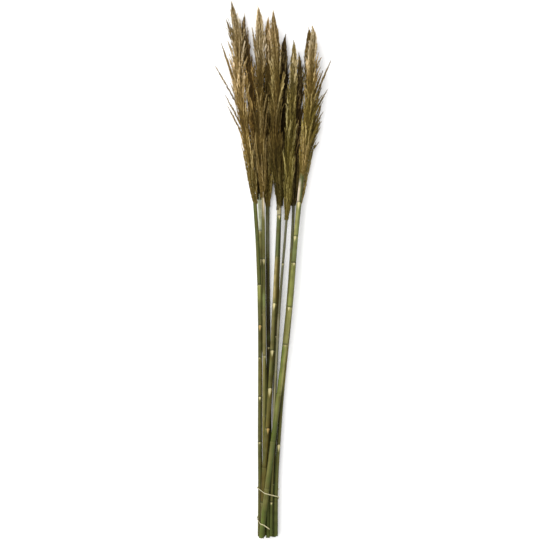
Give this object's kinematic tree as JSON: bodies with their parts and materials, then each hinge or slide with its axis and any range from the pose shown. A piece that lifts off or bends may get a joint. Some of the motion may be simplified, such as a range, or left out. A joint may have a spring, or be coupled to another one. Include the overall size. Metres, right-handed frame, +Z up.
{
  "type": "bunch of dried plume reeds",
  "caption": "Loose bunch of dried reeds with feathery seed plumes on long jointed stems, bound near the cut ends with a strand of raffia and lying on its side.",
  "frame": {"origin": "centre of the lying bunch's footprint, on the surface it lies on", "axes": "+Y along the stems from the cut ends to the plume tips, +Z up from the surface, +X across the bunch"},
  "size_m": [0.206, 0.9592, 0.0477],
  "materials": {
    "olive_stem": "dry olive-green reed, satin, with fine lengthwise lines and cream joints",
    "brown_stem": "dry tan-brown reed, satin, with fine lengthwise lines and orange-cream joints",
    "pale_stem": "thin dry grey-cream reed, matt",
    "green_stem": "dry yellow-green reed, satin, with cream streaks and joints",
    "tan_plume": "matt, fine silky seed hairs, light brown",
    "dark_plume": "matt, fine silky seed hairs, dark olive brown",
    "grey_plume": "matt, fine silky seed hairs, greyish green-brown",
    "raffia": "pale straw raffia, slightly glossy fibres"
  },
  "bodies": {
    "root": {"stem_01": "olive_stem", "plume_01": "tan_plume", "stem_02": "olive_stem", "plume_02": "dark_plume", "stem_03": "olive_stem", "plume_03": "tan_plume", "stem_04": "olive_stem", "plume_04": "tan_plume", "stem_05": "brown_stem", "plume_05": "tan_plume", "stem_06": "olive_stem", "plume_06": "dark_plume", "stem_07": "pale_stem", "plume_07": "grey_plume", "stem_08": "pale_stem", "plume_08": "dark_plume", "stem_09": "green_stem", "plume_09": "tan_plume", "stem_10": "olive_stem", "plume_10": "tan_plume", "raffia_tie": "raffia"}
  },
  "joints": []
}
